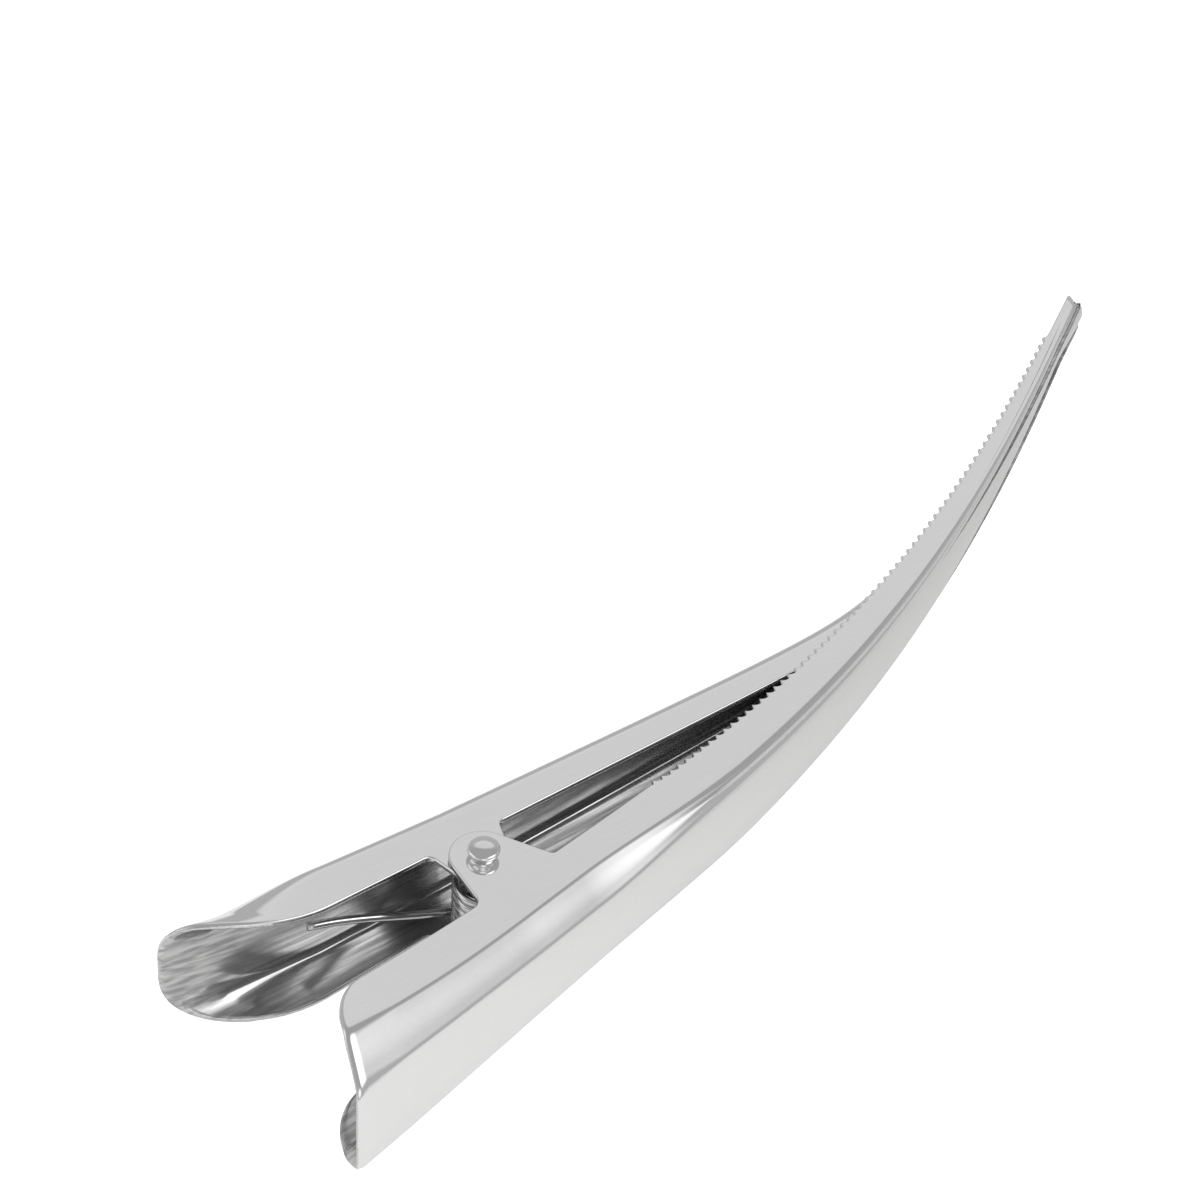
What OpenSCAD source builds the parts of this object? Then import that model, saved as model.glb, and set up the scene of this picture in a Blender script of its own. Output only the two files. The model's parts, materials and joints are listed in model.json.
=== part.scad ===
// Alligator hair clip: two formed sheet steel jaws on one rivet, held shut by a torsion spring.
// The clip lies on its side. X runs along it with the tip at +X, -Y is the side of the outer
// jaw's back, and Z is the hinge axis. Sizes are in millimetres.

/* [Sheet] */
// Thickness of the sheet steel of both jaws
sheet_t = 0.6; // [0.5:0.05:0.65]
// Side gap between the inner jaw and the outer jaw around it
nest_gap = 0.2; // [0.15:0.01:0.25]

/* [Outer jaw] */
// Distance from the hinge axis to the tip
tip_x = 93.3; // [90:0.5:97]
// Distance from the hinge axis to the end of the thumb plate
tail_x = 24.1; // [22:0.1:25]
// Half width at the hinge
half_w = 6.1; // [5.9:0.05:6.4]
// Half width lost with each millimetre towards the tip
taper = 0.0505; // [0.048:0.0005:0.051]
// Extra half width at the end of the thumb plate
tail_flare = 1.4; // [0.8:0.1:1.8]
// Height of the back over the hinge axis
back_h = 11.2; // [11:0.1:11.6]
// Slope of the back at the thumb plate
slope_tail = 0.26; // [0.25:0.01:0.28]
// Slope of the back at the tip
slope_tip = 0.77; // [0.72:0.01:0.8]
// Height from the back to the side's edge at the hinge
depth_0 = 7.25; // [7:0.05:7.5]
// Depth lost with each millimetre towards the tip
depth_fall = 0.0575; // [0.055:0.0005:0.06]
// Height of the folded back over the flat sides at the hinge
rise_0 = 3.3; // [3.2:0.05:3.4]
// Part of the rise that is lost between the hinge and the teeth
rise_step = 1.35; // [1.25:0.05:1.4]
// Rise lost with each millimetre towards the tip
rise_fall = 0.0165; // [0.015:0.0005:0.017]
// Share of the rise that the slanted panels take
panel_share = 0.79; // [0.7:0.01:0.85]
// Lean of the slanted panels from the flat sides
panel_tilt = 38; // [32:1:42]
// Radius of the ear round the rivet
ear_r = 3.1; // [2.9:0.1:3.3]

/* [Teeth] */
// Distance between two teeth
tooth_pitch = 1.03; // [0.98:0.01:1.05]
// Height of a tooth
tooth_h = 0.45; // [0.3:0.05:0.5]
// Distance from the hinge axis to the first tooth
tooth_x0 = 18; // [16:0.5:20]
// Number of teeth on each side
tooth_count = 67; // [50:1:68]

/* [Inner jaw] */
// Height of the flat floor under the hinge axis
floor_h = 7.4; // [7.3:0.05:7.6]
// Radius between floor and sides
floor_r = 1.45; // [1.2:0.05:1.7]
// Distance from the hinge axis to the end of the scoop
scoop_x = 28.15; // [27:0.05:30]
// Extra half width at the end of the scoop
scoop_flare = 0.3; // [0.1:0.1:0.6]
// Length of the rounded end of the scoop
scoop_l = 13.1; // [12:0.1:14]
// Radius between floor and sides in the scoop
scoop_r = 5.4; // [4.5:0.1:5.6]

/* [Rivet and spring] */
// Radius of the rivet's shank
shank_r = 1.1; // [1:0.05:1.15]
// Radius of the rivet's heads
head_r = 1.47; // [1.4:0.01:1.6]
// Height of a head over the ear
head_h = 1.4; // [1.2:0.05:1.5]
// Radial clearance of the shank in the ears
bore_gap = 0.05; // [0.03:0.01:0.08]
// Diameter of the spring wire
wire_d = 0.8; // [0.7:0.05:0.9]
// Radius of the spring's coil at the middle of the wire
coil_r = 2.4; // [2.2:0.05:2.6]
// Number of turns
turns = 7; // [5:1:7]

/* [Hidden] */
$fn = 48;

chrome = [0.80, 0.81, 0.82];
spring_steel = [0.62, 0.63, 0.64];
bend_x0 = 5;                          // the back is straight on the tail side of here
bend_l = 95;                          // length over which its slope changes
flare_l = 24;                         // length over which a tail widens
end_corner = 4.2;                     // how far the long round corner of a side's end stands back
end_level = 0.42;                     // level between back and edge at which that corner starts
end_round = 1.8;                      // how far the thumb plate's end is rounded in plan
tip_round = 0.9;                      // how far the tip is rounded in plan
crease_t = 0.4;                       // half length of the bend at a crease
gum = 0.3;                            // the toothed edge is cut back by this much
tail_x1 = -4;                         // rings are upright from here to the tip
tail_rings = 9;                       // rings on the tail side of tail_x1
body_rings = 24;                      // rings from tail_x1 to the tip
slit = 0.12;                          // least half width of the hollow at the inner jaw's tip
tip_recess = 1.5;                     // the inner jaw ends this far short of the tip
embed = 0.05;                         // an ear or tooth strip lies this deep in its side wall
root = 0.9;                           // height of a tooth strip inside its side wall
inner_ear_r = 2.8;                    // radius of the inner jaw's ear
head_gap = 0.05;                      // gap between a rivet head and the ear under it
foot_r = 1.2;                         // radius of the foot of a head
coil_pitch = 0.98;                    // from one turn of the spring to the next
wire_sides = 8;                       // sides of the wire's section
turn_steps = 12;                      // steps in a turn of the coil
inner_leg = [14.8, 15.5, 2.6];        // angle to -X, length and sideways drift of the leg in the scoop
outer_leg = [-40, 16.6];              // angle and length of the leg under the thumb plate

// ease: the integral of a smooth step, which carries the slope from one value to the other
function ease(t) = t <= 0 ? 0 : t >= 1 ? t - 0.5 : t * t * t - t * t * t * t / 2;
function smooth(t) = let (c = min(max(t, 0), 1)) c * c * (3 - 2 * c);
function smooth_max(a, b, k) = (a + b + sqrt((a - b) * (a - b) + k * k)) / 2;
function tail_part(x, from) = max(0, -x - from);
function reversed(v) = [for (i = [len(v) - 1 : -1 : 0]) v[i]];

// Outer jaw: half width, back line, crease between the back and a side, edge of a side
function outer_w(x) = half_w - taper * x + tail_flare * pow(tail_part(x, 0) / flare_l, 2);
function outer_back(x) = slope_tail * x - back_h
    + (slope_tip - slope_tail) * bend_l * ease((x - bend_x0) / bend_l);
function outer_crease(x) = outer_back(x) + rise_0 - rise_fall * x - rise_step * smooth((x - 6) / 22)
    + 1.5 * pow(tail_part(x, 3) / 18, 2);
function outer_side(x) = outer_back(x) + depth_0 - depth_fall * x + 0.02 * tail_part(x, 4);
function outer_edge(x) = outer_side(x) - gum * smooth((x - tooth_x0 + 1) / 3);

// Inner jaw: the same four lines. Towards the tip it lies inside the outer jaw.
function inner_w(x) = max(0.75, half_w - taper * x - sheet_t - nest_gap)
    + scoop_flare * pow(tail_part(x, 4) / flare_l, 2);
function inner_back(x) = smooth_max(floor_h + 0.03 * max(x, 0), outer_side(x) - 0.2, 3)
    + 1.65 * pow(tail_part(x, 12) / 16, 2);
function inner_edge(x) = x < 0 ? 3.2 - 0.062 * tail_part(x, 0)
    : smooth_max(3.15 + 0.062 * x, max(outer_crease(x) + 0.15, outer_back(x) + sheet_t + 0.45), 1.5);

// Rounds the corner at c between a and b: count + 1 points on a curve that starts and ends at
// distance t from c
function unit(v) = v / norm(v);
function rounded(a, c, b, t, count) = let (p = c + t * unit(a - c), q = c + t * unit(b - c))
    [for (i = [0 : count]) let (s = i / count) (1 - s) * (1 - s) * p + 2 * s * (1 - s) * c + s * s * q];
function mirrored(half) = concat(half, [for (i = [len(half) - 2 : -1 : 0]) [-half[i][0], half[i][1]]]);

// Section of the outer jaw as [z, y] points: flat side, crease, slanted panel, crease, crown.
// in is 0 on the outer face and 1 on the inner face. The panel narrows towards the tip.
function panel(x) = (outer_crease(x) - outer_back(x))
    * (panel_share - 0.14 * smooth((x - 8) / 14) - 0.2 * smooth((x - 50) / 40));
function outer_section(x, in) = let (
    t = in * sheet_t,
    w = outer_w(x),
    h = panel(x),
    top = outer_back(x),
    y1 = outer_crease(x),
    c1 = [w - t, max(y1 + 0.34 * t, top + t + 0.3 * in)],
    c2 = [min(w - h * tan(panel_tilt) - 0.61 * t, c1[0] - 0.05), min(y1 - h + 0.84 * t, c1[1] - 0.05)],
    mid = [c2[0] * 0.55, top + t + (c2[1] - top - t) * 0.3],
    bend_t = min(crease_t, 0.45 * norm(c2 - c1)),
    low_edge = [w - t, outer_edge(x)])
    mirrored(concat([low_edge], rounded(low_edge, c1, c2, bend_t, 2), rounded(c1, c2, mid, bend_t, 2),
        [mid, [0, top + t]]));

// Section of the inner jaw: a channel with a flat floor, which rounds out in the scoop
function inner_section(x, in) = let (
    t = in * sheet_t,
    w = max(inner_w(x) - t, slit),
    y_edge = inner_edge(x),
    floor_y = max(inner_back(x) - t, y_edge + 0.1),
    bend = floor_r + (scoop_r - floor_r) * smooth(tail_part(x, 11) / 13),
    r = min(bend - t, 0.9 * (floor_y - y_edge), 0.9 * w))
    mirrored(concat([[w, y_edge]], rounded([w, y_edge], [w, floor_y], [0, floor_y], r, 4), [[0, floor_y]]));

// Where the end of each jaw lies for a point of its section: level is 0 on the back's middle
// and 1 on a side's edge, and plan is 0 in the middle plane and 1 on a side
function level(section, p) = let (top = section[(len(section) - 1) / 2][1], edge = section[0][1])
    (p[1] - top) / (edge - top);
function plan(section, p) = pow(p[0] / section[0][0], 2);
function corner_part(v) = min(max((v - end_level) / (1 - end_level), 0), 1);
function outer_end(p) = let (s = outer_section(-20, 0))
    end_corner * (1 - sqrt(1 - pow(corner_part(level(s, p)), 2))) + end_round * plan(s, p) - tail_x;
function inner_end(p) = let (s = inner_section(-18, 0))
    scoop_l * (1 - pow(max(1 - pow(max(level(s, p), 0), 0.914), 0), 0.415)) - scoop_x;
function tip_end(section, p, reach) = reach - tip_round * plan(section, p);

// x of ring k. Rings spread from the slanted end to tail_x1, then run to the tip.
function ring_x(k, end, tip) = k < tail_rings ? end + (tail_x1 - end) * k / tail_rings
    : tail_x1 + (tip - tail_x1) * (k - tail_rings) / body_rings;

// A closed shell through rings of equal length, with quads across the sheet at both ends
module shell(rings) {
    n = len(rings[0]);
    half = n / 2;
    b = (len(rings) - 1) * n;
    polyhedron(
        points = [for (r = rings) each r],
        faces = concat(
            [for (k = [0 : len(rings) - 2], j = [0 : n - 1]) let (a = k * n, m = (j + 1) % n)
                each [[a + j, a + m, a + n + m], [a + j, a + n + m, a + n + j]]],
            [for (j = [0 : half - 2]) each [[j, n - 1 - j, n - 2 - j], [j, n - 2 - j, j + 1]]],
            [for (j = [0 : half - 2])
                each [[b + j, b + n - 2 - j, b + n - 1 - j], [b + j, b + j + 1, b + n - 2 - j]]]),
        convexity = 8);
}
function outer_line(i, in, k) = let (
    end = outer_end(outer_section(-20, 0)[i]),
    tip_section = outer_section(tip_x, 0),
    x = ring_x(k, end, tip_end(tip_section, tip_section[i], tip_x)),
    p = outer_section(x, in)[i])
    [x, p[1], p[0]];
function inner_line(i, in, k) = let (
    end = inner_end(inner_section(-18, 0)[i]),
    tip_section = inner_section(tip_x, 0),
    x = ring_x(k, end, tip_end(tip_section, tip_section[i], tip_x - tip_recess)),
    p = inner_section(x, in)[i])
    [x, p[1], p[0]];
outer_n = len(outer_section(0, 0));
inner_n = len(inner_section(0, 0));
outer_rings = [for (k = [0 : tail_rings + body_rings]) concat(
    [for (i = [0 : outer_n - 1]) outer_line(i, 1, k)],
    [for (i = [outer_n - 1 : -1 : 0]) outer_line(i, 0, k)])];
inner_rings = [for (k = [0 : tail_rings + body_rings]) concat(
    [for (i = [0 : inner_n - 1]) inner_line(i, 0, k)],
    [for (i = [inner_n - 1 : -1 : 0]) inner_line(i, 1, k)])];

// The box of both jaws puts the origin under the middle of the clip
all_points = [for (r = concat(outer_rings, inner_rings)) each r];
low = [for (a = [0 : 2]) min([for (p = all_points) p[a]])];
high = [for (a = [0 : 2]) max([for (p = all_points) p[a]])];
module placed() {
    translate([-(low[0] + high[0]) / 2, -(low[1] + high[1]) / 2, -low[2]]) children();
}

// A flat plate inside both side walls of a jaw whose outer faces stand at half width w
module side_plates(w) {
    for (s = [0, 1]) mirror([0, 0, s])
        translate([0, 0, w - embed])
            rotate([0, atan(taper), 0])
                translate([0, 0, embed * 2 - sheet_t])
                    linear_extrude(sheet_t - embed * 2) children();
}
module bores() {
    cylinder(r = shank_r + bore_gap, h = half_w * 2 + 4, center = true);
}

// Ears: a round end about the rivet, with the slanted edges that run into the side
module outer_ear() {
    circle(r = ear_r);
    polygon([[2.93, 1], [5.3, -2.7], [5.9, -3.2], [5, -4.4], [-4.6, -6.2], [-4.9, -5.3],
        [-3.9, -4.55], [-3.35, -3.6], [-3.1, 0], [0, 2.5]]);
}
module inner_ear() {
    circle(r = inner_ear_r);
    polygon([[2.5, 1.2], [3.7, 3], [4.6, 4], [3.5, 4.8], [-3.5, 4.6], [-4.4, 3.7],
        [-3.5, 2.6], [-2.65, 0.8], [0, -1]]);
}

// A row of low teeth that hangs on the edge of the outer jaw's side
function tooth_row() = [for (i = [0 : tooth_count - 1], p = [[0, -0.1], [0.2, tooth_h], [0.5, tooth_h * 0.4]])
    let (x = tooth_x0 + (i + p[0]) * tooth_pitch) [x, outer_edge(x) + p[1]]];
module tooth_strip() {
    x_last = tooth_x0 + tooth_count * tooth_pitch;
    polygon(concat(
        tooth_row(),
        [for (i = [0 : 12]) let (x = x_last + (tooth_x0 - x_last) * i / 12) [x, outer_edge(x) - root]]));
}

module outer_jaw() {
    color(chrome) placed() difference() {
        union() {
            shell(outer_rings);
            side_plates(outer_w(0)) outer_ear();
            side_plates(outer_w(0)) tooth_strip();
        }
        bores();
    }
}
module inner_jaw() {
    color(chrome) placed() difference() {
        union() {
            shell(inner_rings);
            side_plates(inner_w(0)) inner_ear();
        }
        bores();
    }
}

// Rivet: a shank with a button head at each end, which widens from its foot to a round rim
module hinge_rivet() {
    z_ear = half_w + head_gap;
    h = head_h - head_gap;
    color(chrome) placed() for (s = [0, 1]) mirror([0, 0, s]) {
        cylinder(r = shank_r, h = z_ear + 0.1);
        translate([0, 0, z_ear]) rotate_extrude()
            polygon([[0, 0], [foot_r, 0], [foot_r + 0.04, h * 0.25], [head_r - 0.1, h * 0.5],
                [head_r - 0.01, h * 0.62], [head_r, h * 0.72], [head_r - 0.05, h * 0.84],
                [head_r - 0.18, h * 0.92], [head_r * 0.6, h * 0.98], [0, h]]);
    }
}

// Spring: a coil round the rivet. Its ends leave along tangents as two straight legs.
wire_start = -90 - outer_leg[0];
wire_end = 360 * turns - 360 + 90 - inner_leg[0];
wire_steps = ceil((wire_end - wire_start) / 360 * turn_steps);
function coil_z(t) = coil_pitch * ((wire_start + wire_end) / 2 - t) / 360;
function radial(t) = [cos(t), sin(t), 0];
function along(t) = [-sin(t), cos(t), 0];
function on_coil(t) = coil_r * radial(t) + [0, 0, coil_z(t)];
wire_route = concat(
    [[on_coil(wire_start) - outer_leg[1] * along(wire_start), wire_start]],
    [for (i = [0 : wire_steps]) let (t = wire_start + (wire_end - wire_start) * i / wire_steps)
        [on_coil(t), t]],
    [[on_coil(wire_end) + inner_leg[1] * along(wire_end) + [0, 0, inner_leg[2]], wire_end]]);
module wire(route) {
    n = wire_sides;
    b = (len(route) - 1) * n;
    polyhedron(
        points = [for (p = route, j = [0 : n - 1])
            p[0] + wire_d / 2 * (cos(360 * j / n) * radial(p[1]) + sin(360 * j / n) * [0, 0, 1])],
        faces = concat(
            [for (k = [0 : len(route) - 2], j = [0 : n - 1]) let (a = k * n, m = (j + 1) % n)
                each [[a + j, a + m, a + n + m], [a + j, a + n + m, a + n + j]]],
            [[for (j = [n - 1 : -1 : 0]) j]],
            [[for (j = [0 : n - 1]) b + j]]),
        convexity = 8);
}
module torsion_spring() {
    color(spring_steel) placed() wire(wire_route);
}

outer_jaw();
inner_jaw();
hinge_rivet();
torsion_spring();
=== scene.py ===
import json
import bpy
import numpy as np
from math import radians, cos, sin
from mathutils import Matrix, Vector


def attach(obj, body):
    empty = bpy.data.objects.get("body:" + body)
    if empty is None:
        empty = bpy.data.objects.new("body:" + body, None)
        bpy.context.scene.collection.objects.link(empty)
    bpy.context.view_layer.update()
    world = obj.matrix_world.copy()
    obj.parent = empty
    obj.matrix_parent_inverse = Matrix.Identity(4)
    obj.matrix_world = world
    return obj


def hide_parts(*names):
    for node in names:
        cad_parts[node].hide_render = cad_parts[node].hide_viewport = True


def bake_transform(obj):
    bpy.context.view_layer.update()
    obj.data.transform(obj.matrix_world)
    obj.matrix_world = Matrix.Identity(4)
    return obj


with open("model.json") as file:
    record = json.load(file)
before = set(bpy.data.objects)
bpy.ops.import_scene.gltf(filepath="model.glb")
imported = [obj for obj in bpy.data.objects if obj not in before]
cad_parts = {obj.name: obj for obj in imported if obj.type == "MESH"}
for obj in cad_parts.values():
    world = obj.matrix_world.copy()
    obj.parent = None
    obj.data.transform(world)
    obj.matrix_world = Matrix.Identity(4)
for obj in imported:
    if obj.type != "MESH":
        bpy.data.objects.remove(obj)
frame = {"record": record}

# A steel hair clip lying on its side: two formed sheet jaws, a rivet and a torsion spring.
# Shapes are worked out in millimetres about the hinge axis, with X towards the tip and Z along
# the axis, and go into the meshes in metres in the frame's own place.
mm = 0.001
scene = bpy.context.scene
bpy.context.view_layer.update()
hinge = np.array(frame["record"]["behaviour"]["joints"][0]["pos_m"])


# Numbers and curves.

def smoothStep(t):
    # 3t^2 - 2t^3, held at 0 and 1 outside the range
    t = np.clip(t, 0, 1)
    return t * t * (3 - 2 * t)

def easedSlope(t):
    # integral of a smooth step: t^3 - t^4/2 up to 1, then a straight line
    c = np.clip(t, 0, 1)
    return c ** 3 - c ** 4 / 2 + np.maximum(t - 1, 0)

def softMax(a, b, k):
    # the larger of a and b, with the corner between them rounded over about k
    return (a + b + np.sqrt((a - b) ** 2 + k * k)) / 2

def tailPart(x, start):
    # how far x lies on the tail side of -start
    return np.maximum(0, -x - start)

def bendCorner(a, c, b, radius, count):
    # quadratic curve that swaps corner c for a bend: it touches both legs at radius * tan(turn / 2)
    a, c, b = (np.asarray(p, float) for p in (a, c, b))
    u, v = (a - c) / np.linalg.norm(a - c), (b - c) / np.linalg.norm(b - c)
    reach = radius / np.tan(np.arccos(np.clip(u @ v, -1, 1)) / 2)
    s = np.linspace(0, 1, count)[:, None]
    return (1 - s) ** 2 * (c + reach * u) + 2 * s * (1 - s) * c + s * s * (c + reach * v)

def earPath(edge, rearX, frontX, radius, fillets, up):
    # outline of an ear from the corner where its rear side leaves the edge to the front one:
    # bend, tangent to the round end, arc about the hinge axis, tangent, bend. up is 1 or -1.
    corners = np.array([(x, edge(np.array(float(x))) * up) for x in (rearX - 3, rearX, frontX, frontX + 3)])
    rear, front = corners[1], corners[2]
    rearTurn = np.arctan2(rear[1], rear[0]) - np.arccos(radius / np.hypot(*rear)) + 2 * np.pi
    frontTurn = np.arctan2(front[1], front[0]) + np.arccos(radius / np.hypot(*front))
    arc = np.linspace(rearTurn, frontTurn, 29)
    ring = radius * np.stack([np.cos(arc), np.sin(arc)], 1)
    rearBend = bendCorner(corners[0], rear, ring[0], fillets[0], 10)
    frontBend = bendCorner(ring[-1], front, corners[3], fillets[1], 10)
    steps = np.linspace(0, 1, 8)[1:-1, None]
    path = [rearBend, rearBend[-1] + (ring[0] - rearBend[-1]) * steps, ring,
            ring[-1] + (frontBend[0] - ring[-1]) * steps, frontBend]
    return np.concatenate(path) * (1, up)


# Meshes.

def meshFromGrid(name, vertices, faces, materials, faceMaterial=None, attributes=None):
    # one mesh object at the origin, from vertices in mm about the hinge and quads in one array
    mesh = bpy.data.meshes.new(name)
    mesh.vertices.add(len(vertices))
    mesh.vertices.foreach_set("co", (vertices * mm + hinge).astype(np.float32).ravel())
    mesh.loops.add(faces.size)
    mesh.loops.foreach_set("vertex_index", faces.astype(np.int32).ravel())
    mesh.polygons.add(len(faces))
    mesh.polygons.foreach_set("loop_start", np.arange(0, faces.size, 4, dtype=np.int32))
    mesh.polygons.foreach_set("use_smooth", np.ones(len(faces), bool))
    for m in materials:
        mesh.materials.append(m)
    if faceMaterial is not None:
        mesh.polygons.foreach_set("material_index", faceMaterial.astype(np.int32))
    for key, values in (attributes or {}).items():
        layer = mesh.attributes.new(key, "FLOAT_VECTOR", "POINT")
        layer.data.foreach_set("vector", values.astype(np.float32).ravel())
    mesh.update(calc_edges=True)
    mesh.validate()
    obj = bpy.data.objects.new(name, mesh)
    scene.collection.objects.link(obj)
    return obj

def gridQuads(index):
    # quads between neighbouring rows and columns of an array of vertex numbers
    return np.stack([index[:-1, :-1], index[1:, :-1], index[1:, 1:], index[:-1, 1:]], -1).reshape(-1, 4)

def gridNormals(points):
    # unit cross product of the grid's two directions of change
    along = np.gradient(points, axis=0)
    across = np.gradient(points, axis=1)
    n = np.cross(along, across)
    return n / np.linalg.norm(n, axis=-1, keepdims=True)

def borderDistance(points, border, near):
    # least distance of each near point from the segments of the closed border
    a, b = border, np.roll(border, -1, 0)
    step = b - a
    span = np.maximum((step ** 2).sum(1), 1e-12)
    distance = np.full(points.shape[:2], 9.0)
    chosen = points[near]
    found = []
    for part in np.array_split(chosen, max(1, len(chosen) // 1500)):
        t = np.clip(((part[:, None] - a) * step).sum(-1) / span, 0, 1)
        found.append(np.linalg.norm(part[:, None] - a - t[..., None] * step, axis=-1).min(1))
    distance[near] = np.concatenate(found)
    return distance

def sheetShell(name, face, normals, size, near, materials):
    # a sheet whose outer face is the grid: both skins lie along the normals, and within the rim's
    # radius of the border the half thickness falls as t/2 - r + sqrt(r^2 - (r - distance)^2)
    rows, columns = face.shape[:2]
    ids = np.arange(rows * columns).reshape(rows, columns)
    loop = np.concatenate([ids[0, :-1], ids[:-1, -1], ids[-1, :0:-1], ids[:0:-1, 0]])
    r = size["rimRadius"]
    gap = np.clip(r - borderDistance(face, face.reshape(-1, 3)[loop], near), 0, r)
    half = size["thickness"] / 2 - r + np.sqrt(np.maximum(r * r - gap * gap, 0))
    middle = size["thickness"] / 2
    outerSkin = face - normals * (middle - half)[..., None]
    innerSkin = face - normals * (middle + half)[..., None]
    vertices = np.concatenate([outerSkin.reshape(-1, 3), innerSkin.reshape(-1, 3)])
    top = gridQuads(ids)
    under = gridQuads(ids + ids.size)[:, ::-1]
    nextOne = np.roll(loop, -1)
    rim = np.stack([loop, nextOne, nextOne + ids.size, loop + ids.size], 1)
    faces = np.concatenate([top, under, rim])
    kind = np.concatenate([np.zeros(len(top)), np.ones(len(under)), np.full(len(rim), 2)])
    return meshFromGrid(name, vertices, faces, materials, kind)


# Materials.

def toLinear(hexColour):
    # sRGB hex to linear RGBA
    c = np.array([int(hexColour[i:i + 2], 16) / 255 for i in (0, 2, 4)])
    c = np.where(c <= 0.04045, c / 12.92, ((c + 0.055) / 1.055) ** 2.4)
    return (*c, 1)

def addNode(tree, kind, settings=None, inputs=None, links=None):
    # one node with its settings, its input values, and links into its sockets
    node = tree.nodes.new(kind)
    for key, value in (settings or {}).items():
        setattr(node, key, value)
    for key, value in (inputs or {}).items():
        node.inputs[key].default_value = value
    for key, source in (links or {}).items():
        tree.links.new(source, node.inputs[key])
    return node

def startMaterial(name, colour, metallic, roughness):
    # a Principled material with its even values on the shader's own sockets
    material = bpy.data.materials.new(name)
    material.use_nodes = True
    tree = material.node_tree
    tree.nodes.clear()
    shader = addNode(tree, "ShaderNodeBsdfPrincipled", inputs={
        "Base Color": toLinear(colour), "Metallic": metallic, "Roughness": roughness})
    addNode(tree, "ShaderNodeOutputMaterial", links={"Surface": shader.outputs["BSDF"]})
    return material, tree, shader

# Bright nickel over polished steel: a clear mirror that is a little uneven. The sheet still shows
# faint polishing lines along the clip and slow waves from the press.
brightPlate = dict(colour="e6e6e6", shade="e3e3e3", roughness=0.05, roughest=0.1, lineWidth=0.16,
                   lineLength=9.0, waveSize=7.0, grainSize=0.35)

def makeBrightPlate(name, s):
    material, tree, shader = startMaterial(name, s["colour"], 1.0, s["roughness"])
    place = addNode(tree, "ShaderNodeTexCoord").outputs["Object"]
    stretched = addNode(tree, "ShaderNodeMapping", inputs={"Scale": (
        1 / (s["lineLength"] * mm), 1 / (s["lineWidth"] * mm), 1 / (s["lineWidth"] * mm))},
        links={"Vector": place}).outputs["Vector"]
    lines = addNode(tree, "ShaderNodeTexNoise", inputs={"Scale": 1.0, "Detail": 3.0},
                    links={"Vector": stretched}).outputs["Fac"]
    waves = addNode(tree, "ShaderNodeTexNoise", inputs={"Scale": 1 / (s["waveSize"] * mm), "Detail": 1.0},
                    links={"Vector": place}).outputs["Fac"]
    grain = addNode(tree, "ShaderNodeTexNoise", inputs={"Scale": 1 / (s["grainSize"] * mm), "Detail": 4.0},
                    links={"Vector": place}).outputs["Fac"]
    blend = addNode(tree, "ShaderNodeMapRange", inputs={"From Min": 0.35, "From Max": 0.75},
                    links={"Value": lines}).outputs["Result"]
    tint = addNode(tree, "ShaderNodeMix", {"data_type": "RGBA"}, {
        6: toLinear(s["colour"]), 7: toLinear(s["shade"])}, {0: blend}).outputs[2]
    tree.links.new(tint, shader.inputs["Base Color"])
    dull = addNode(tree, "ShaderNodeMapRange", inputs={
        "From Min": 0.3, "From Max": 0.75, "To Min": s["roughness"], "To Max": s["roughest"]},
        links={"Value": grain}).outputs["Result"]
    tree.links.new(dull, shader.inputs["Roughness"])
    wavy = addNode(tree, "ShaderNodeBump", inputs={"Strength": 1.0, "Distance": 0.01 * mm},
                   links={"Height": waves}).outputs["Normal"]
    lined = addNode(tree, "ShaderNodeBump", inputs={"Strength": 0.3, "Distance": 0.0001 * mm},
                    links={"Height": lines, "Normal": wavy}).outputs["Normal"]
    tree.links.new(lined, shader.inputs["Normal"])
    return material

# The same plate over the inner face of the strip, which was rolled but not polished: a softer
# mirror with long streaks along the clip and slow waves that bend every reflection.
rolledPlate = dict(colour="d0d0d0", shade="a2a2a2", metallic=0.85, roughness=0.12, roughest=0.22,
                   streakWidth=0.45, streakLength=40.0, waveSize=6.0)

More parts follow.
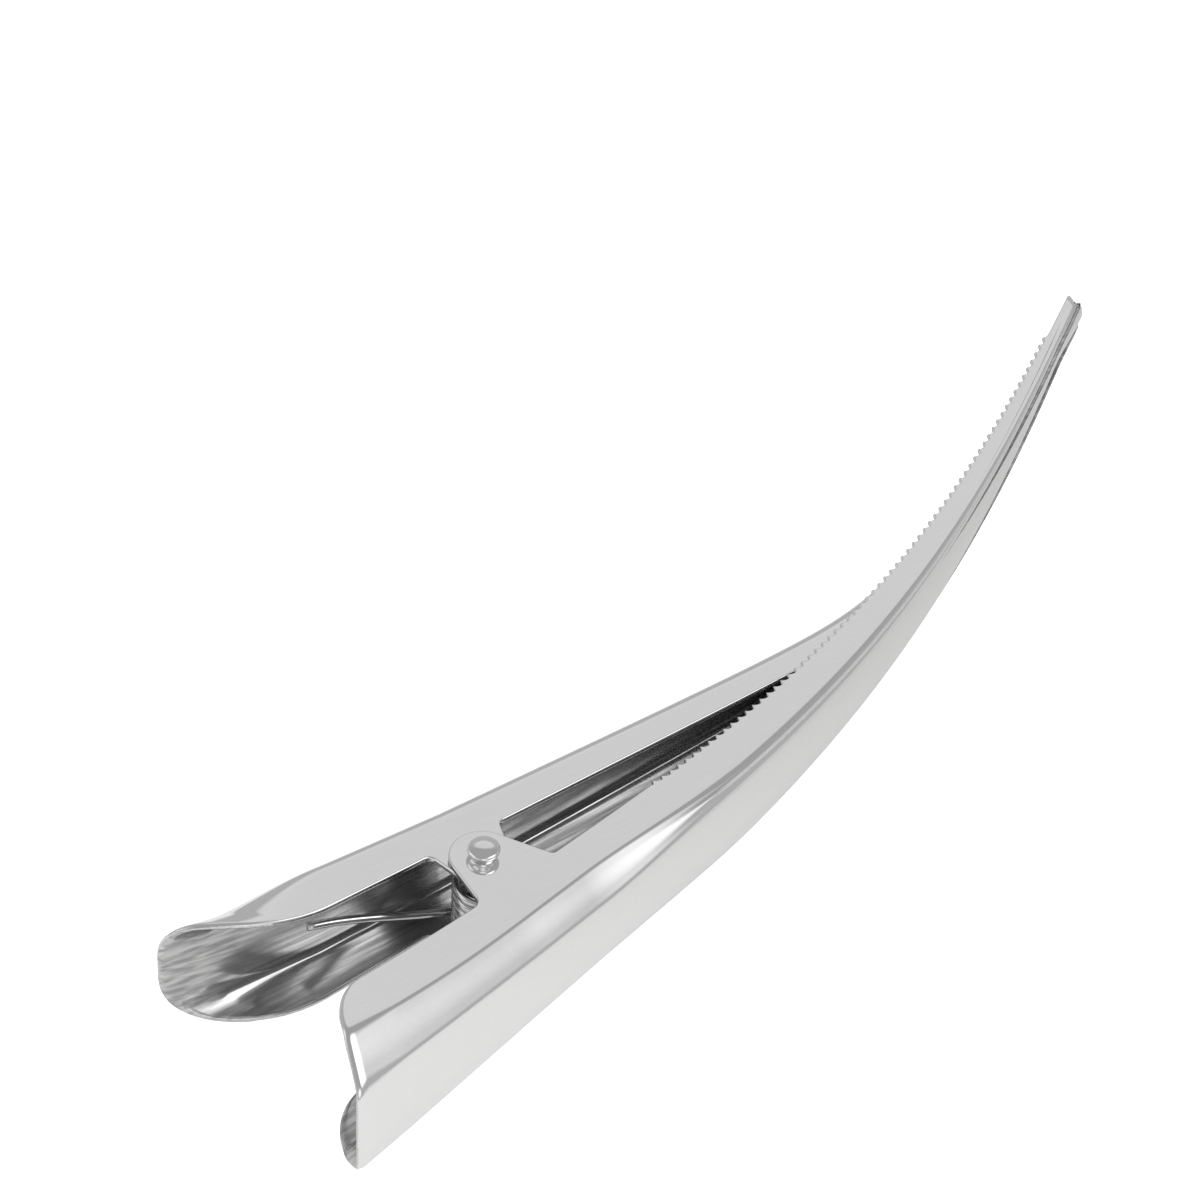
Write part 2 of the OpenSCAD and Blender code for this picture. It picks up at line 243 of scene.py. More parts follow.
def makeRolledPlate(name, s):
    material, tree, shader = startMaterial(name, s["colour"], s["metallic"], s["roughness"])
    place = addNode(tree, "ShaderNodeTexCoord").outputs["Object"]
    stretched = addNode(tree, "ShaderNodeMapping", inputs={"Scale": (
        1 / (s["streakLength"] * mm), 1 / (s["streakWidth"] * mm), 1 / (s["streakWidth"] * mm))},
        links={"Vector": place}).outputs["Vector"]
    streaks = addNode(tree, "ShaderNodeTexNoise", inputs={"Scale": 1.0, "Detail": 4.0},
                      links={"Vector": stretched}).outputs["Fac"]
    waves = addNode(tree, "ShaderNodeTexNoise", inputs={"Scale": 1 / (s["waveSize"] * mm), "Detail": 2.0},
                    links={"Vector": place}).outputs["Fac"]
    blend = addNode(tree, "ShaderNodeMapRange", inputs={"From Min": 0.38, "From Max": 0.64},
                    links={"Value": streaks}).outputs["Result"]
    tint = addNode(tree, "ShaderNodeMix", {"data_type": "RGBA"}, {
        6: toLinear(s["colour"]), 7: toLinear(s["shade"])}, {0: blend}).outputs[2]
    tree.links.new(tint, shader.inputs["Base Color"])
    dull = addNode(tree, "ShaderNodeMapRange", inputs={
        "From Min": 0.35, "From Max": 0.7, "To Min": s["roughness"], "To Max": s["roughest"]},
        links={"Value": streaks}).outputs["Result"]
    tree.links.new(dull, shader.inputs["Roughness"])
    wavy = addNode(tree, "ShaderNodeBump", inputs={"Strength": 1.0, "Distance": 0.03 * mm},
                   links={"Height": waves}).outputs["Normal"]
    lined = addNode(tree, "ShaderNodeBump", inputs={"Strength": 0.5, "Distance": 0.0015 * mm},
                    links={"Height": streaks, "Normal": wavy}).outputs["Normal"]
    tree.links.new(lined, shader.inputs["Normal"])
    return material

# Cut edge of the strip, tumbled and plated: small shiny facets with fine marks across it.
cutEdge = dict(colour="dcdcdc", shade="a5a5a5", roughness=0.14, markSize=0.12)

def makeCutEdge(name, s):
    material, tree, shader = startMaterial(name, s["colour"], 1.0, s["roughness"])
    place = addNode(tree, "ShaderNodeTexCoord").outputs["Object"]
    marks = addNode(tree, "ShaderNodeTexNoise", inputs={"Scale": 1 / (s["markSize"] * mm), "Detail": 3.0},
                    links={"Vector": place}).outputs["Fac"]
    blend = addNode(tree, "ShaderNodeMapRange", inputs={"From Min": 0.45, "From Max": 0.7},
                    links={"Value": marks}).outputs["Result"]
    tint = addNode(tree, "ShaderNodeMix", {"data_type": "RGBA"}, {
        6: toLinear(s["colour"]), 7: toLinear(s["shade"])}, {0: blend}).outputs[2]
    tree.links.new(tint, shader.inputs["Base Color"])
    rough = addNode(tree, "ShaderNodeBump", inputs={"Strength": 0.6, "Distance": 0.01 * mm},
                    links={"Height": marks}).outputs["Normal"]
    tree.links.new(rough, shader.inputs["Normal"])
    return material

# Drawn spring wire with a thin nickel coat: grey, glossy, with drawing lines along the wire. lines
# sets how many of them lie round it.
drawnWire = dict(colour="dedede", shade="b2b2b2", roughness=0.13, lines=26.0)

def makeDrawnWire(name, s):
    material, tree, shader = startMaterial(name, s["colour"], 1.0, s["roughness"])
    path = addNode(tree, "ShaderNodeAttribute", {"attribute_name": "wirePath"}).outputs["Vector"]
    stretched = addNode(tree, "ShaderNodeMapping", inputs={"Scale": (
        0.25, s["lines"] / 6.28, s["lines"] / 6.28)}, links={"Vector": path}).outputs["Vector"]
    lines = addNode(tree, "ShaderNodeTexNoise", inputs={"Scale": 1.0, "Detail": 3.0},
                    links={"Vector": stretched}).outputs["Fac"]
    blend = addNode(tree, "ShaderNodeMapRange", inputs={"From Min": 0.4, "From Max": 0.7},
                    links={"Value": lines}).outputs["Result"]
    tint = addNode(tree, "ShaderNodeMix", {"data_type": "RGBA"}, {
        6: toLinear(s["colour"]), 7: toLinear(s["shade"])}, {0: blend}).outputs[2]
    tree.links.new(tint, shader.inputs["Base Color"])
    lined = addNode(tree, "ShaderNodeBump", inputs={"Strength": 0.5, "Distance": 0.004 * mm},
                    links={"Height": lines}).outputs["Normal"]
    tree.links.new(lined, shader.inputs["Normal"])
    return material

plate = makeBrightPlate("bright nickel plate on polished steel", brightPlate)
insidePlate = makeRolledPlate("nickel plate on rolled strip", rolledPlate)
edgePlate = makeCutEdge("nickel plate on a cut edge", cutEdge)
wireFinish = makeDrawnWire("nickel coated drawn wire", drawnWire)
print("materials made")


# Outer jaw.

outerJaw = dict(thickness=0.6, rimRadius=0.17, tip=93.3, tail=24.1, halfWidth=6.1, taper=0.0505,
                tailFlare=1.4, flareLength=24, backHeight=11.2, slopeTail=0.26, slopeTip=0.77,
                bendStart=5, bendLength=95, depth=7.25, depthFall=0.0575, rise=3.3, riseFall=0.0165,
                riseStep=1.35, panelShare=0.79, panelTilt=38, panelBulge=0.07, creaseBend=0.3,
                earRear=-3.4, earFront=5.5, earRadius=3.1, earFillets=(1.1, 0.6), earColumns=(-6, 7.5),
                stepStart=6, stepLength=22, upSweep=1.5, panelLoss=(0.14, 0.2), endColumns=(6, 14),
                toothStart=18, toothPitch=1.03, teeth=67, toothHeight=0.45, gum=0.3,
                cornerLength=4.2, cornerLevel=0.42, endRound=1.8, tipRound=0.9)

def outerWidth(x, s=outerJaw):
    # straight taper, and a square-law flare on the tail side
    return s["halfWidth"] - s["taper"] * x + s["tailFlare"] * (tailPart(x, 0) / s["flareLength"]) ** 2

def outerBack(x, s=outerJaw):
    # straight at the tail, then the slope eases to the tip's slope
    return (s["slopeTail"] * x - s["backHeight"] + (s["slopeTip"] - s["slopeTail"]) * s["bendLength"]
            * easedSlope((x - s["bendStart"]) / s["bendLength"]))

def outerCrease(x, s=outerJaw):
    # the lower crease: the back plus a rise that shrinks evenly, steps down from the hinge to past
    # the first teeth, and sweeps up at the tail
    step = s["riseStep"] * smoothStep((x - s["stepStart"]) / s["stepLength"])
    return outerBack(x) + s["rise"] - s["riseFall"] * x - step + s["upSweep"] * (tailPart(x, 3) / 18) ** 2

def outerEdge(x, s=outerJaw):
    # the back plus the depth of the side, a little deeper at the tail
    return outerBack(x) + s["depth"] - s["depthFall"] * x + 0.02 * tailPart(x, 4)

toothPhases = np.array([0, 0.07, 0.14, 0.2, 0.3, 0.42, 0.56, 0.76])  # columns of one tooth

def toothRise(x, s=outerJaw):
    # teeth on an edge that is cut back by the gum: each rises straight over a fifth of the pitch to
    # its point, and falls along a square law over the rest
    count = (x - s["toothStart"]) / s["toothPitch"]
    inside = (count >= 0) & (count <= s["teeth"])
    phase = np.mod(count + 1e-6, 1)
    tooth = np.where(phase < 0.2, phase / 0.2, ((1 - phase) / 0.8) ** 2)
    cut = s["gum"] * smoothStep((x - s["toothStart"] + 1) / 3)
    return np.where(inside, s["toothHeight"] * tooth, 0) - cut

def outerOutline(s=outerJaw):
    # the side's edge from the tail to the tip, as columns of x, y
    ear = earPath(outerEdge, s["earRear"], s["earFront"], s["earRadius"], s["earFillets"], 1)
    tailX = np.linspace(-s["tail"] + s["cornerLength"] + s["endRound"], ear[0, 0] - 0.2, 34)
    gumX = np.linspace(ear[-1, 0] + 0.3, s["toothStart"], 16)[:-1]
    toothX = s["toothStart"] + s["toothPitch"] * (np.arange(s["teeth"])[:, None] + toothPhases).ravel()
    tipX = np.linspace(toothX[-1], s["tip"] - s["tipRound"], 13)[1:]
    straight = np.concatenate([gumX, toothX, tipX])
    return np.concatenate([np.stack([tailX, outerEdge(tailX)], 1), ear,
                           np.stack([straight, outerEdge(straight)], 1)])

def relaxed(x, low, high):
    # even spacing between low and high, so that columns spread under an ear
    index = np.arange(len(x))
    first, last = np.searchsorted(x, low), np.searchsorted(x, high)
    return np.where((index > first) & (index < last),
                    x[first] + (x[last] - x[first]) * (index - first) / (last - first), x)

rimSteps = np.array([0, 0.02, 0.06, 0.11, 0.17, 0.28])  # rows beside an edge, in mm from it

def sideRows(outline, normal, crease, extraY, rows):
    # rim rows lie at set distances from the edge, then straight rows run to the crease
    edge = outline + np.stack([np.zeros(len(outline)), extraY], 1)
    rim = edge[:, None] + normal[:, None] * rimSteps[None, :, None]
    share = np.linspace(0, 1, rows + 1)[1:-1]
    plain = rim[:, -1:] + (crease - rim[:, -1])[:, None] * share[None, :, None]
    return np.concatenate([rim, plain], 1)

def outlineNormals(outline, side):
    # unit normals in the side's plane, towards the sheet
    t = np.gradient(outline, axis=0)
    t /= np.linalg.norm(t, axis=1, keepdims=True)
    return side * np.stack([t[:, 1], -t[:, 0]], 1)

def curveRows(a, c, b, reach, count):
    # count rows on the quadratic curve that swaps the crease c for a bend, in the z, y plane
    u = (a - c) / np.linalg.norm(a - c, axis=-1, keepdims=True)
    v = (b - c) / np.linalg.norm(b - c, axis=-1, keepdims=True)
    p, q = c + u * reach[:, None], c + v * reach[:, None]
    s = np.linspace(0, 1, count)[None, :, None]
    return (1 - s) ** 2 * p[:, None] + 2 * s * (1 - s) * c[:, None] + s * s * q[:, None]

def outerFace(s=outerJaw):
    # near half of the outer face: side, lower crease, slanted panel, upper crease, arched crown
    outline = outerOutline()
    x = relaxed(outline[:, 0], *s["earColumns"])
    width, top, low = outerWidth(x), outerBack(x), outerCrease(x)
    rise = low - top
    atTeeth, atTip = s["panelLoss"]
    height = rise * (s["panelShare"] - atTeeth * smoothStep((x - 8) / 14)
                     - atTip * smoothStep((x - 50) / 40))
    slope = np.tan(radians(s["panelTilt"]))
    first = np.stack([width, low], 1)
    second = np.stack([width - height * slope, low - height], 1)
    length = height / cos(radians(s["panelTilt"]))
    reach = s["creaseBend"] + 0.12 * tailPart(x, 14) + 0.5 * smoothStep((x - 10) / 25)
    reach = np.minimum(reach, 0.45 * length)
    arch = second[:, 1] - top
    crownSlope = 2 * arch / second[:, 0]
    inward = np.stack([-np.ones(len(x)), -crownSlope], 1)
    bend1 = curveRows(first + (0, 1), first, second, reach, 6)
    bend2 = curveRows(first, second, second + inward, reach, 6)
    t = np.linspace(0, 1, 7)[1:-1]
    panel = bend1[:, -1:] + (bend2[:, :1] - bend1[:, -1:]) * t[None, :, None]
    panel += (s["panelBulge"] * 4 * t * (1 - t))[None, :, None] * np.array([cos(radians(s["panelTilt"])),
                                                                           -sin(radians(s["panelTilt"]))])
    startZ = bend2[:, -1, 0]
    z = startZ[:, None] * (1 - np.linspace(0, 1, 10)[1:])
    endY = bend2[:, -1, 1]
    crown = np.stack([z, top[:, None] + (endY - top)[:, None] * (z / startZ[:, None]) ** 2], -1)
    back = np.concatenate([bend1, panel, bend2, crown], 1)
    sideEnd = np.stack([x, bend1[:, 0, 1]], 1)
    side = sideRows(outline, outlineNormals(outline, 1), sideEnd, toothRise(outline[:, 0]), 9)
    n = back.shape[1]
    backGrid = np.stack([np.repeat(x[:, None], n, 1), back[..., 1], back[..., 0]], -1)
    sideGrid = np.stack([side[..., 0], side[..., 1], outerWidth(side[..., 0])], -1)
    return np.concatenate([sideGrid, backGrid], 1)

def spreadEnd(half, shift, start):
    # slides each row along x by its own shift at the tail end, fading evenly to none at start
    x = half[..., 0]
    first = x[0].max()
    share = np.clip((start - x) / (start - first), 0, None)
    return shift[None] * share

def buildOuterJaw(s=outerJaw):
    half = outerFace()
    # the thumb plate's end: the crown reaches furthest, and each side ends in a long round corner,
    # length * (1 - sqrt(1 - c^2)) with c the share of the level above the corner's start
    end = half[0]
    level = (end[:, 1] - end[-1, 1]) / (end[0, 1] - end[-1, 1])
    plan = (end[:, 2] / end[0, 2]) ** 2
    c = np.clip((level - s["cornerLevel"]) / (1 - s["cornerLevel"]), 0, 1)
    wanted = s["cornerLength"] * (1 - np.sqrt(1 - c * c)) + s["endRound"] * plan - s["tail"]
    move = spreadEnd(half, wanted - end[:, 0], -4)
    x = half[..., 0] + move
    # heights follow the new x
    y = half[..., 1] + (outerBack(x) - outerBack(half[..., 0]))
    z = half[..., 2] * outerWidth(x) / outerWidth(half[..., 0])
    # the tip's end is rounded in plan
    tipShare = smoothStep((x - s["tip"] + s["tipRound"] + 6) / 6)
    x = x + s["tipRound"] * (1 - (z / outerWidth(x)) ** 2) * tipShare
    grid = np.stack([x, y, z], -1)
    full = np.concatenate([grid, grid[:, -2::-1] * (1, 1, -1)], 1)[::-1]
    normals = gridNormals(full)
    near = np.zeros(full.shape[:2], bool)
    near[:s["endColumns"][0]] = near[-s["endColumns"][1]:] = True
    near[:, :len(rimSteps) + 2] = near[:, -len(rimSteps) - 2:] = True
    return sheetShell("outerJaw", full, normals, s, near, [plate, insidePlate, edgePlate])

outerPiece = buildOuterJaw()
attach(outerPiece, "outer_jaw")
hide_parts("outer_jaw")
print("outer jaw made", len(outerPiece.data.polygons))


# Inner jaw.

innerJaw = dict(thickness=0.6, rimRadius=0.17, gap=0.2, leastWidth=0.75, floor=7.4, floorRise=0.03,
                floorRadius=1.45, scoopRadius=5.4, scoopFall=1.65, edge=3.15, edgeRise=0.062,
                tailEdge=3.2, tailEdgeFall=0.062, scoopEnd=28.15, scoopLength=13.1, scoopShape=(0.914, 2.407),
                scoopFlare=0.3, tipShort=1.5, tipRound=0.5, clearCrease=0.15, clearBack=1.05,
                earRear=-3.66, earFront=3.95, earRadius=2.8, earFillets=(0.8, 0.8),
                earColumns=(-5.5, 6), endColumns=(16, 6))

def innerWidth(x, s=innerJaw):
    # inside the outer jaw with a gap, and a square-law flare in the scoop
    straight = outerJaw["halfWidth"] - outerJaw["taper"] * x - outerJaw["thickness"] - s["gap"]
    return np.maximum(s["leastWidth"], straight) + s["scoopFlare"] * (tailPart(x, 4) / 24) ** 2

def innerFloor(x, s=innerJaw):
    # nearly flat, then just inside the outer jaw's edge; a square law drops it in the scoop
    flat = softMax(s["floor"] + s["floorRise"] * np.maximum(x, 0), outerEdge(x) - 0.2, 3)
    return flat + s["scoopFall"] * (tailPart(x, 12) / 16) ** 2

def innerEdge(x, s=innerJaw):
    # the channel's edge: rises gently, then stays clear of the outer jaw's crease and back
    clear = np.maximum(outerCrease(x) + s["clearCrease"], outerBack(x) + s["clearBack"])
    front = softMax(s["edge"] + s["edgeRise"] * x, clear, 1.5)
    return np.where(x < 0, s["tailEdge"] - s["tailEdgeFall"] * tailPart(x, 0), front)

def buildInnerJaw(s=innerJaw):
    ear = earPath(innerEdge, s["earRear"], s["earFront"], s["earRadius"], s["earFillets"], -1)
    tailX = np.linspace(-s["scoopEnd"] + s["scoopLength"], ear[0, 0] - 0.2, 48)
    frontX = np.concatenate([np.linspace(ear[-1, 0] + 0.3, 70, 110)[:-1],
                             np.linspace(70, outerJaw["tip"] - s["tipShort"] - s["tipRound"], 24)])
    outline = np.concatenate([np.stack([tailX, innerEdge(tailX)], 1), ear,
                              np.stack([frontX, innerEdge(frontX)], 1)])
    x = relaxed(outline[:, 0], *s["earColumns"])
    width, floor, edge = innerWidth(x), innerFloor(x), innerEdge(x)
    radius = s["floorRadius"] + (s["scoopRadius"] - s["floorRadius"]) * smoothStep(tailPart(x, 8.5) / 6.5)
    radius = np.minimum(radius, np.minimum(0.9 * (floor - edge), 0.9 * width))
    corner = np.stack([width, floor], 1)
    bend = curveRows(corner - (0, 1), corner, corner - (1, 0), radius, 14)
    t = np.linspace(0, 1, 10)[1:]
    flat = bend[:, -1:] * np.stack([1 - t, np.ones(9)], 1)[None]
    back = np.concatenate([bend, flat], 1)
    sideEnd = np.stack([x, bend[:, 0, 1]], 1)
    side = sideRows(outline, outlineNormals(outline, -1), sideEnd, 0 * x, 9)
    n = back.shape[1]
    backGrid = np.stack([np.repeat(x[:, None], n, 1), back[..., 1], back[..., 0]], -1)
    sideGrid = np.stack([side[..., 0], side[..., 1], innerWidth(side[..., 0])], -1)
    half = np.concatenate([sideGrid, backGrid], 1)
    # the scoop's end: a long round from the edges to the floor's lip
    end = half[0]
    level = (end[:, 1] - end[-1, 1]) / (end[0, 1] - end[-1, 1])
    p, q = s["scoopShape"]
    wanted = s["scoopLength"] * (1 - np.clip(1 - level ** p, 0, 1) ** (1 / q)) - s["scoopEnd"]
    move = spreadEnd(half, wanted - end[:, 0], -4)
    x = half[..., 0] + move
    y = half[..., 1] + (innerFloor(x) - innerFloor(half[..., 0]))
    z = half[..., 2] * innerWidth(x) / innerWidth(half[..., 0])
    tipShare = smoothStep((x - outerJaw["tip"] + s["tipShort"] + 6) / 6)
    x = x + s["tipRound"] * (1 - (z / innerWidth(x)) ** 2) * tipShare
    grid = np.stack([x, y, z], -1)
    full = np.concatenate([grid, grid[:, -2::-1] * (1, 1, -1)], 1)
    normals = gridNormals(full)
    near = np.zeros(full.shape[:2], bool)
    near[:s["endColumns"][0]] = near[-s["endColumns"][1]:] = True
    near[:, :len(rimSteps) + 2] = near[:, -len(rimSteps) - 2:] = True
    return sheetShell("innerJaw", full, normals, s, near, [plate, insidePlate, edgePlate])

innerPiece = buildInnerJaw()
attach(innerPiece, "inner_jaw")
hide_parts("inner_jaw")
print("inner jaw made", len(innerPiece.data.polygons))


# Rivet.

rivet = dict(shank=1.1, foot=1.2, cap=1.47, rise=1.37, flankShare=0.6, rimRound=0.3, flat=0.06,
             gap=0.03, sides=96)

def endQuads(ring):
    # closes a ring of vertex numbers with a strip of quads straight across it
    n = len(ring)
    i = np.arange(n // 2 - 1)
    return np.stack([ring[i], ring[i + 1], ring[n - 2 - i], ring[n - 1 - i]], -1)

def buildRivet(s=rivet):
    # profile of radius against height from the middle to the button's top, turned about the axis
    # and mirrored to the other end: shank, foot, flank that widens along a smooth step, round rim,
    # top with a square-law dome
    z = outerJaw["halfWidth"] + s["gap"]
    foot, cap, rise, share, bend = (s[k] for k in ("foot", "cap", "rise", "flankShare", "rimRound"))
    t = np.linspace(0, 1, 9)
    flank = np.stack([foot + (cap - foot) * smoothStep(t), z + share * rise * t], 1)
    turn = np.radians(np.linspace(0, 72, 9)[1:])
    rim = np.stack([cap - bend + bend * np.cos(turn), z + share * rise + bend * np.sin(turn)], 1)
    dome = np.stack([rim[-1, 0] * (1 - (1 - s["flat"]) * t[1:]),
                     rim[-1, 1] + (z + rise - rim[-1, 1]) * (1 - (1 - t[1:]) ** 2)], 1)
    profile = np.concatenate([[(s["shank"], 0), (s["shank"], z - 0.05), (foot, z)], flank[1:], rim, dome])
    profile = np.concatenate([profile[:0:-1] * (1, -1), profile])
    n = s["sides"]
    around = np.linspace(0, 2 * np.pi, n + 1)[:-1]
    points = np.stack([profile[:, :1] * np.cos(around), profile[:, :1] * np.sin(around),
                       np.repeat(profile[:, 1:], n, 1)], -1)
    ids = np.arange(len(profile) * n).reshape(-1, n)
    closed = np.concatenate([ids, ids[:, :1]], 1)
    faces = np.concatenate([gridQuads(closed.T), endQuads(ids[0])[:, ::-1], endQuads(ids[-1])])
    return meshFromGrid("hingeRivet", points.reshape(-1, 3), faces, [plate])

rivetPiece = buildRivet()
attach(rivetPiece, "outer_jaw")
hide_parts("hinge_rivet")
print("rivet made")


# Spring.

spring = dict(wire=0.4, coil=2.4, turns=7, pitch=0.98, innerLeg=(14.8, 15.5), drift=2.6,
              outerLeg=(-40, 16.6), bevelRadius=0.3, bevelLength=0.06, sides=20)

def buildSpring(s=spring):
    # each leg is given as its lean from X in degrees and its length
    # helix r(t) = coil * (cos t, sin t) that sinks pitch per turn, with a tangent leg at each end;
    # the leg in the scoop drifts to the middle. The wire's ring keeps the coil's radial direction.
    start = -90 - s["outerLeg"][0]
    stop = 360 * s["turns"] - 360 + 90 - s["innerLeg"][0]
    turn = np.radians(np.linspace(start, stop, int((stop - start) / 7.5)))
    height = s["pitch"] * ((start + stop) / 2 - np.degrees(turn)) / 360
    def radial(t): return np.stack([np.cos(t), np.sin(t), 0 * t], -1)
    def tangent(t): return np.stack([-np.sin(t), np.cos(t), 0 * t], -1)
    up = np.array([0, 0, 1.0])
    coil = s["coil"] * radial(turn) + height[:, None] * up
    first = np.linspace(s["outerLeg"][1], 0, 30)[:-1, None]
    last = np.linspace(0, s["innerLeg"][1], 26)[1:, None]
    legA = coil[0] - first * tangent(turn[0])
    legB = coil[-1] + last * tangent(turn[-1]) + s["drift"] * smoothStep(last / s["innerLeg"][1]) * up
    centre = np.concatenate([legA, coil, legB])
    outward = radial(np.concatenate([np.full(len(legA), turn[0]), turn, np.full(len(legB), turn[-1])]))
    along = np.gradient(centre, axis=0)
    along /= np.linalg.norm(along, axis=1, keepdims=True)
    side = np.cross(along, outward)
    n = s["sides"]
    around = np.linspace(0, 2 * np.pi, n + 1)[:-1]
    ring = np.cos(around)[None, :, None] * outward[:, None] + np.sin(around)[None, :, None] * side[:, None]
    # each end has a small bevel and is closed flat
    endA = centre[0] + ring[0] * s["bevelRadius"] - along[0] * s["bevelLength"]
    endB = centre[-1] + ring[-1] * s["bevelRadius"] + along[-1] * s["bevelLength"]
    points = np.concatenate([endA[None], centre[:, None] + ring * s["wire"], endB[None]])
    run = np.concatenate([[0], np.cumsum(np.linalg.norm(np.diff(centre, axis=0), axis=1))])
    run = np.concatenate([[0], run, [run[-1]]])
    path = np.stack([np.repeat(run[:, None], n, 1), np.repeat(np.cos(around)[None], len(run), 0),
                     np.repeat(np.sin(around)[None], len(run), 0)], -1)
    ids = np.arange(len(run) * n).reshape(-1, n)
    closed = np.concatenate([ids, ids[:, :1]], 1)
    faces = np.concatenate([gridQuads(closed), endQuads(ids[0]), endQuads(ids[-1])[:, ::-1]])[:, ::-1]
    return meshFromGrid("torsionSpring", points.reshape(-1, 3), faces, [wireFinish],
                        attributes={"wirePath": path.reshape(-1, 3)})

springPiece = buildSpring()
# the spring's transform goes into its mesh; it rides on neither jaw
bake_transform(springPiece)
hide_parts("torsion_spring")
print("spring made")


# Floor, light and camera.

# the sweep's painted glow runs from its near value on the tail side to its far value towards the tip
stage = dict(paper="ffffff", paperGlow=0.75, sweep="e6e6e5", sweepNear=0.27, sweepFar=0.0,
             dimming=(-0.01, 0.09), size=4.0, lowSky=0.52, topSky=0.42)
# soft boxes by direction, half size across and up in degrees, brightness and softness of the edge
softBoxes = [
    dict(towards=(0.41, 0.57, 0.71), across=30, up=21, light=0.33, soft=0.35),
    dict(towards=(0.354, -0.612, 0.707), across=31, up=31, light=2.0, soft=0.73),
    dict(towards=(-0.80, 0.40, 0.45), across=34, up=24, light=0.6, soft=0.5),
    dict(towards=(-0.45, -0.85, 0.30), across=26, up=18, light=0.7, soft=0.6)]

def buildFloor(s=stage):
    # two squares at the clip's lowest point: a backlit white paper that is seen, and under it the
    # grey sweep that the metal mirrors, which has a painted glow that fades to none towards the tip
    h, low = s["size"] / 2 / mm, -hinge[2] / mm
    corners = np.array([(-h, -h, 0), (h, -h, 0), (h, h, 0), (-h, h, 0)], float)
    corners -= (hinge[0] / mm, hinge[1] / mm, 0)
    paper, tree, shader = startMaterial("backlit white paper", s["paper"], 0.0, 0.9)
    shader.inputs["Emission Color"].default_value = (1, 1, 1, 1)
    shader.inputs["Emission Strength"].default_value = s["paperGlow"]
    sweep, tree, shader = startMaterial("grey paper sweep", s["sweep"], 0.0, 0.9)
    place = addNode(tree, "ShaderNodeTexCoord").outputs["Object"]
    along = addNode(tree, "ShaderNodeSeparateXYZ", links={"Vector": place}).outputs["X"]
    # painted glow on the sweep: strong on the tail side of the hinge, fading to none towards the tip
    glow = addNode(tree, "ShaderNodeMapRange", {"interpolation_type": "SMOOTHSTEP"}, {
        "From Min": hinge[0] + s["dimming"][0], "From Max": hinge[0] + s["dimming"][1],
        "To Min": s["sweepNear"], "To Max": s["sweepFar"]}, {"Value": along}).outputs["Result"]
    shader.inputs["Emission Color"].default_value = (1, 1, 1, 1)
    tree.links.new(glow, shader.inputs["Emission Strength"])
    quad = np.array([[0, 1, 2, 3]])
    seen = meshFromGrid("paper", corners + (0, 0, low), quad, [paper])
    mirrored = meshFromGrid("sweep", corners + (0, 0, low - 0.1), quad, [sweep])
    for name in ("visible_glossy", "visible_diffuse", "visible_shadow"):
        setattr(seen, name, False)
    mirrored.visible_camera = False

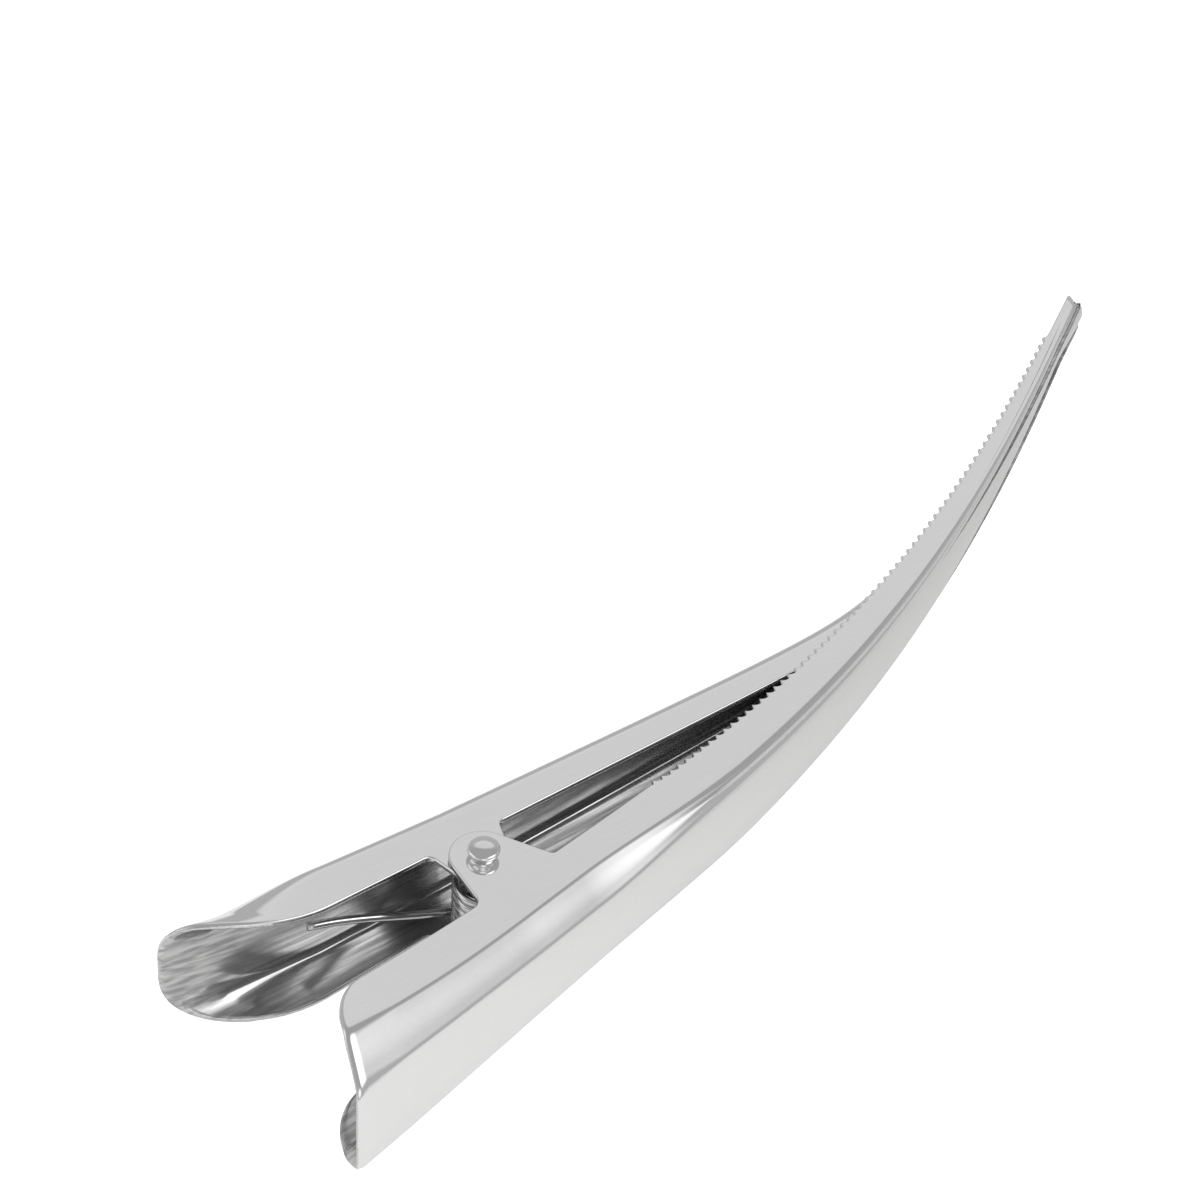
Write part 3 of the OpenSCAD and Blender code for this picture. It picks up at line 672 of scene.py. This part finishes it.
def buildWorld(s=stage):
    # light tent: a dim sky that darkens overhead, plus soft boxes. With a and b the direction's
    # parts across and up a box over its half sizes, a box gives light * smoothstep of
    # (1 - sqrt(a^2 + b^2)) / soft.
    world = bpy.data.worlds.new("light tent")
    scene.world = world
    world.use_nodes = True
    tree = world.node_tree
    tree.nodes.clear()
    place = addNode(tree, "ShaderNodeTexCoord").outputs["Generated"]
    height = addNode(tree, "ShaderNodeSeparateXYZ", links={"Vector": place}).outputs["Z"]
    total = addNode(tree, "ShaderNodeMapRange", {"interpolation_type": "SMOOTHSTEP"}, {
        "From Min": 0.3, "From Max": 0.8, "To Min": s["lowSky"], "To Max": s["topSky"]},
        {"Value": height}).outputs["Result"]
    for box in softBoxes:
        centre = Vector(box["towards"]).normalized()
        across = Vector((0, 0, 1)).cross(centre).normalized()
        up = centre.cross(across)
        squares = []
        for axis, half in ((across, box["across"]), (up, box["up"])):
            part = addNode(tree, "ShaderNodeVectorMath", {"operation": "DOT_PRODUCT"},
                           {1: axis / sin(radians(half))}, {0: place}).outputs["Value"]
            squares.append(addNode(tree, "ShaderNodeMath", {"operation": "POWER"}, {1: 2.0},
                                   {0: part}).outputs["Value"])
        both = addNode(tree, "ShaderNodeMath", {"operation": "ADD"}, links={0: squares[0], 1: squares[1]})
        reach = addNode(tree, "ShaderNodeMath", {"operation": "SQRT"}, links={0: both.outputs["Value"]})
        facing = addNode(tree, "ShaderNodeVectorMath", {"operation": "DOT_PRODUCT"}, {1: centre}, {0: place})
        front = addNode(tree, "ShaderNodeMath", {"operation": "GREATER_THAN"}, {1: 0.0},
                        {0: facing.outputs["Value"]}).outputs["Value"]
        glow = addNode(tree, "ShaderNodeMapRange", {"interpolation_type": "SMOOTHSTEP"}, {
            "From Min": 1.0, "From Max": 1 - box["soft"], "To Min": 0.0, "To Max": box["light"]},
            {"Value": reach.outputs["Value"]}).outputs["Result"]
        total = addNode(tree, "ShaderNodeMath", {"operation": "MULTIPLY_ADD"},
                        links={0: glow, 1: front, 2: total}).outputs["Value"]
    back = addNode(tree, "ShaderNodeBackground", inputs={"Color": (1, 1, 1, 1)}, links={"Strength": total})
    addNode(tree, "ShaderNodeOutputWorld", links={"Surface": back.outputs["Background"]})

def addLamp(name, place, size, power):
    # a square soft light that faces the clip
    data = bpy.data.lights.new(name, "AREA")
    data.shape, data.size, data.energy = "SQUARE", size, power
    lamp = bpy.data.objects.new(name, data)
    lamp.location = place
    lamp.rotation_euler = (-Vector(place)).to_track_quat("-Z", "Y").to_euler()
    lamp.visible_glossy = False
    scene.collection.objects.link(lamp)

def addCamera():
    # aimed beside the hinge from azimuth, elevation and distance, with a small roll
    view = dict(azimuth=-35.96, elevation=44.98, roll=2.316, distance=503.7, lens=170.23,
                aim=(18.84, 10.09, 19.23))
    a, e, roll = (radians(view[k]) for k in ("azimuth", "elevation", "roll"))
    back = Vector((sin(a) * cos(e), -cos(a) * cos(e), sin(e)))
    flat = Vector((cos(a), sin(a), 0))
    rise = back.cross(flat)
    right = flat * cos(roll) + rise * sin(roll)
    up = rise * cos(roll) - flat * sin(roll)
    data = bpy.data.cameras.new("camera")
    data.lens, data.sensor_width = view["lens"], 36
    data.clip_start, data.clip_end = 0.01, 20
    camera = bpy.data.objects.new("camera", data)
    place = Vector(hinge) + Vector(view["aim"]) * mm + back * view["distance"] * mm
    camera.matrix_world = Matrix.Translation(place) @ Matrix((right, up, back)).transposed().to_4x4()
    scene.collection.objects.link(camera)
    scene.camera = camera

buildFloor()
buildWorld()
addLamp("overhead", (-0.1, -0.1, 0.7), 0.6, 1.2)
addCamera()
scene.view_settings.view_transform = "Standard"
print("stage made")
